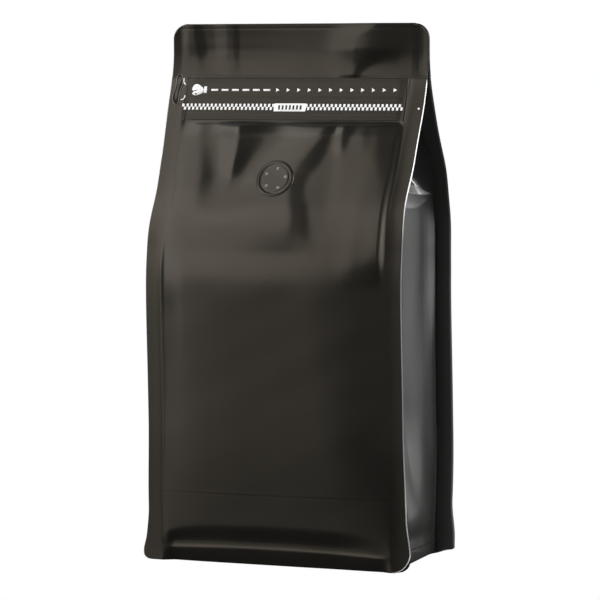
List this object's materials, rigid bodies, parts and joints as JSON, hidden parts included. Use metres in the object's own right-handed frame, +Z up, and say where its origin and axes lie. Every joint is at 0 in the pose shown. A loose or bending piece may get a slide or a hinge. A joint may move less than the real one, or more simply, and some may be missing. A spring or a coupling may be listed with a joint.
{
  "type": "stand-up coffee pouch",
  "caption": "Flat-bottom stand-up coffee pouch of matte black film, shut and full, with side gussets, flat sealed edges, a pull-tab zipper band and an embossed degassing valve.",
  "frame": {"origin": "middle of the foot, on the plane the pouch stands on", "axes": "+Z up; the front panel with the zipper and valve faces -Y; +X towards the side gusset at the viewer's right when the front is seen"},
  "size_m": [0.1374, 0.085, 0.265],
  "materials": {
    "film": "soft matte black laminate film, glossier on the side gussets, with light cut edges",
    "zipper_film": "matte black film over the fine ribs of the zipper, with a white printed guide line",
    "valve_film": "satin black, pressed into relief by the valve behind it",
    "tab_film": "matte black film with a bright die-cut edge"
  },
  "bodies": {
    "root": {"pouch": "film", "zipper": "zipper_film", "valve": "valve_film", "tear_tab": "tab_film"}
  },
  "joints": []
}
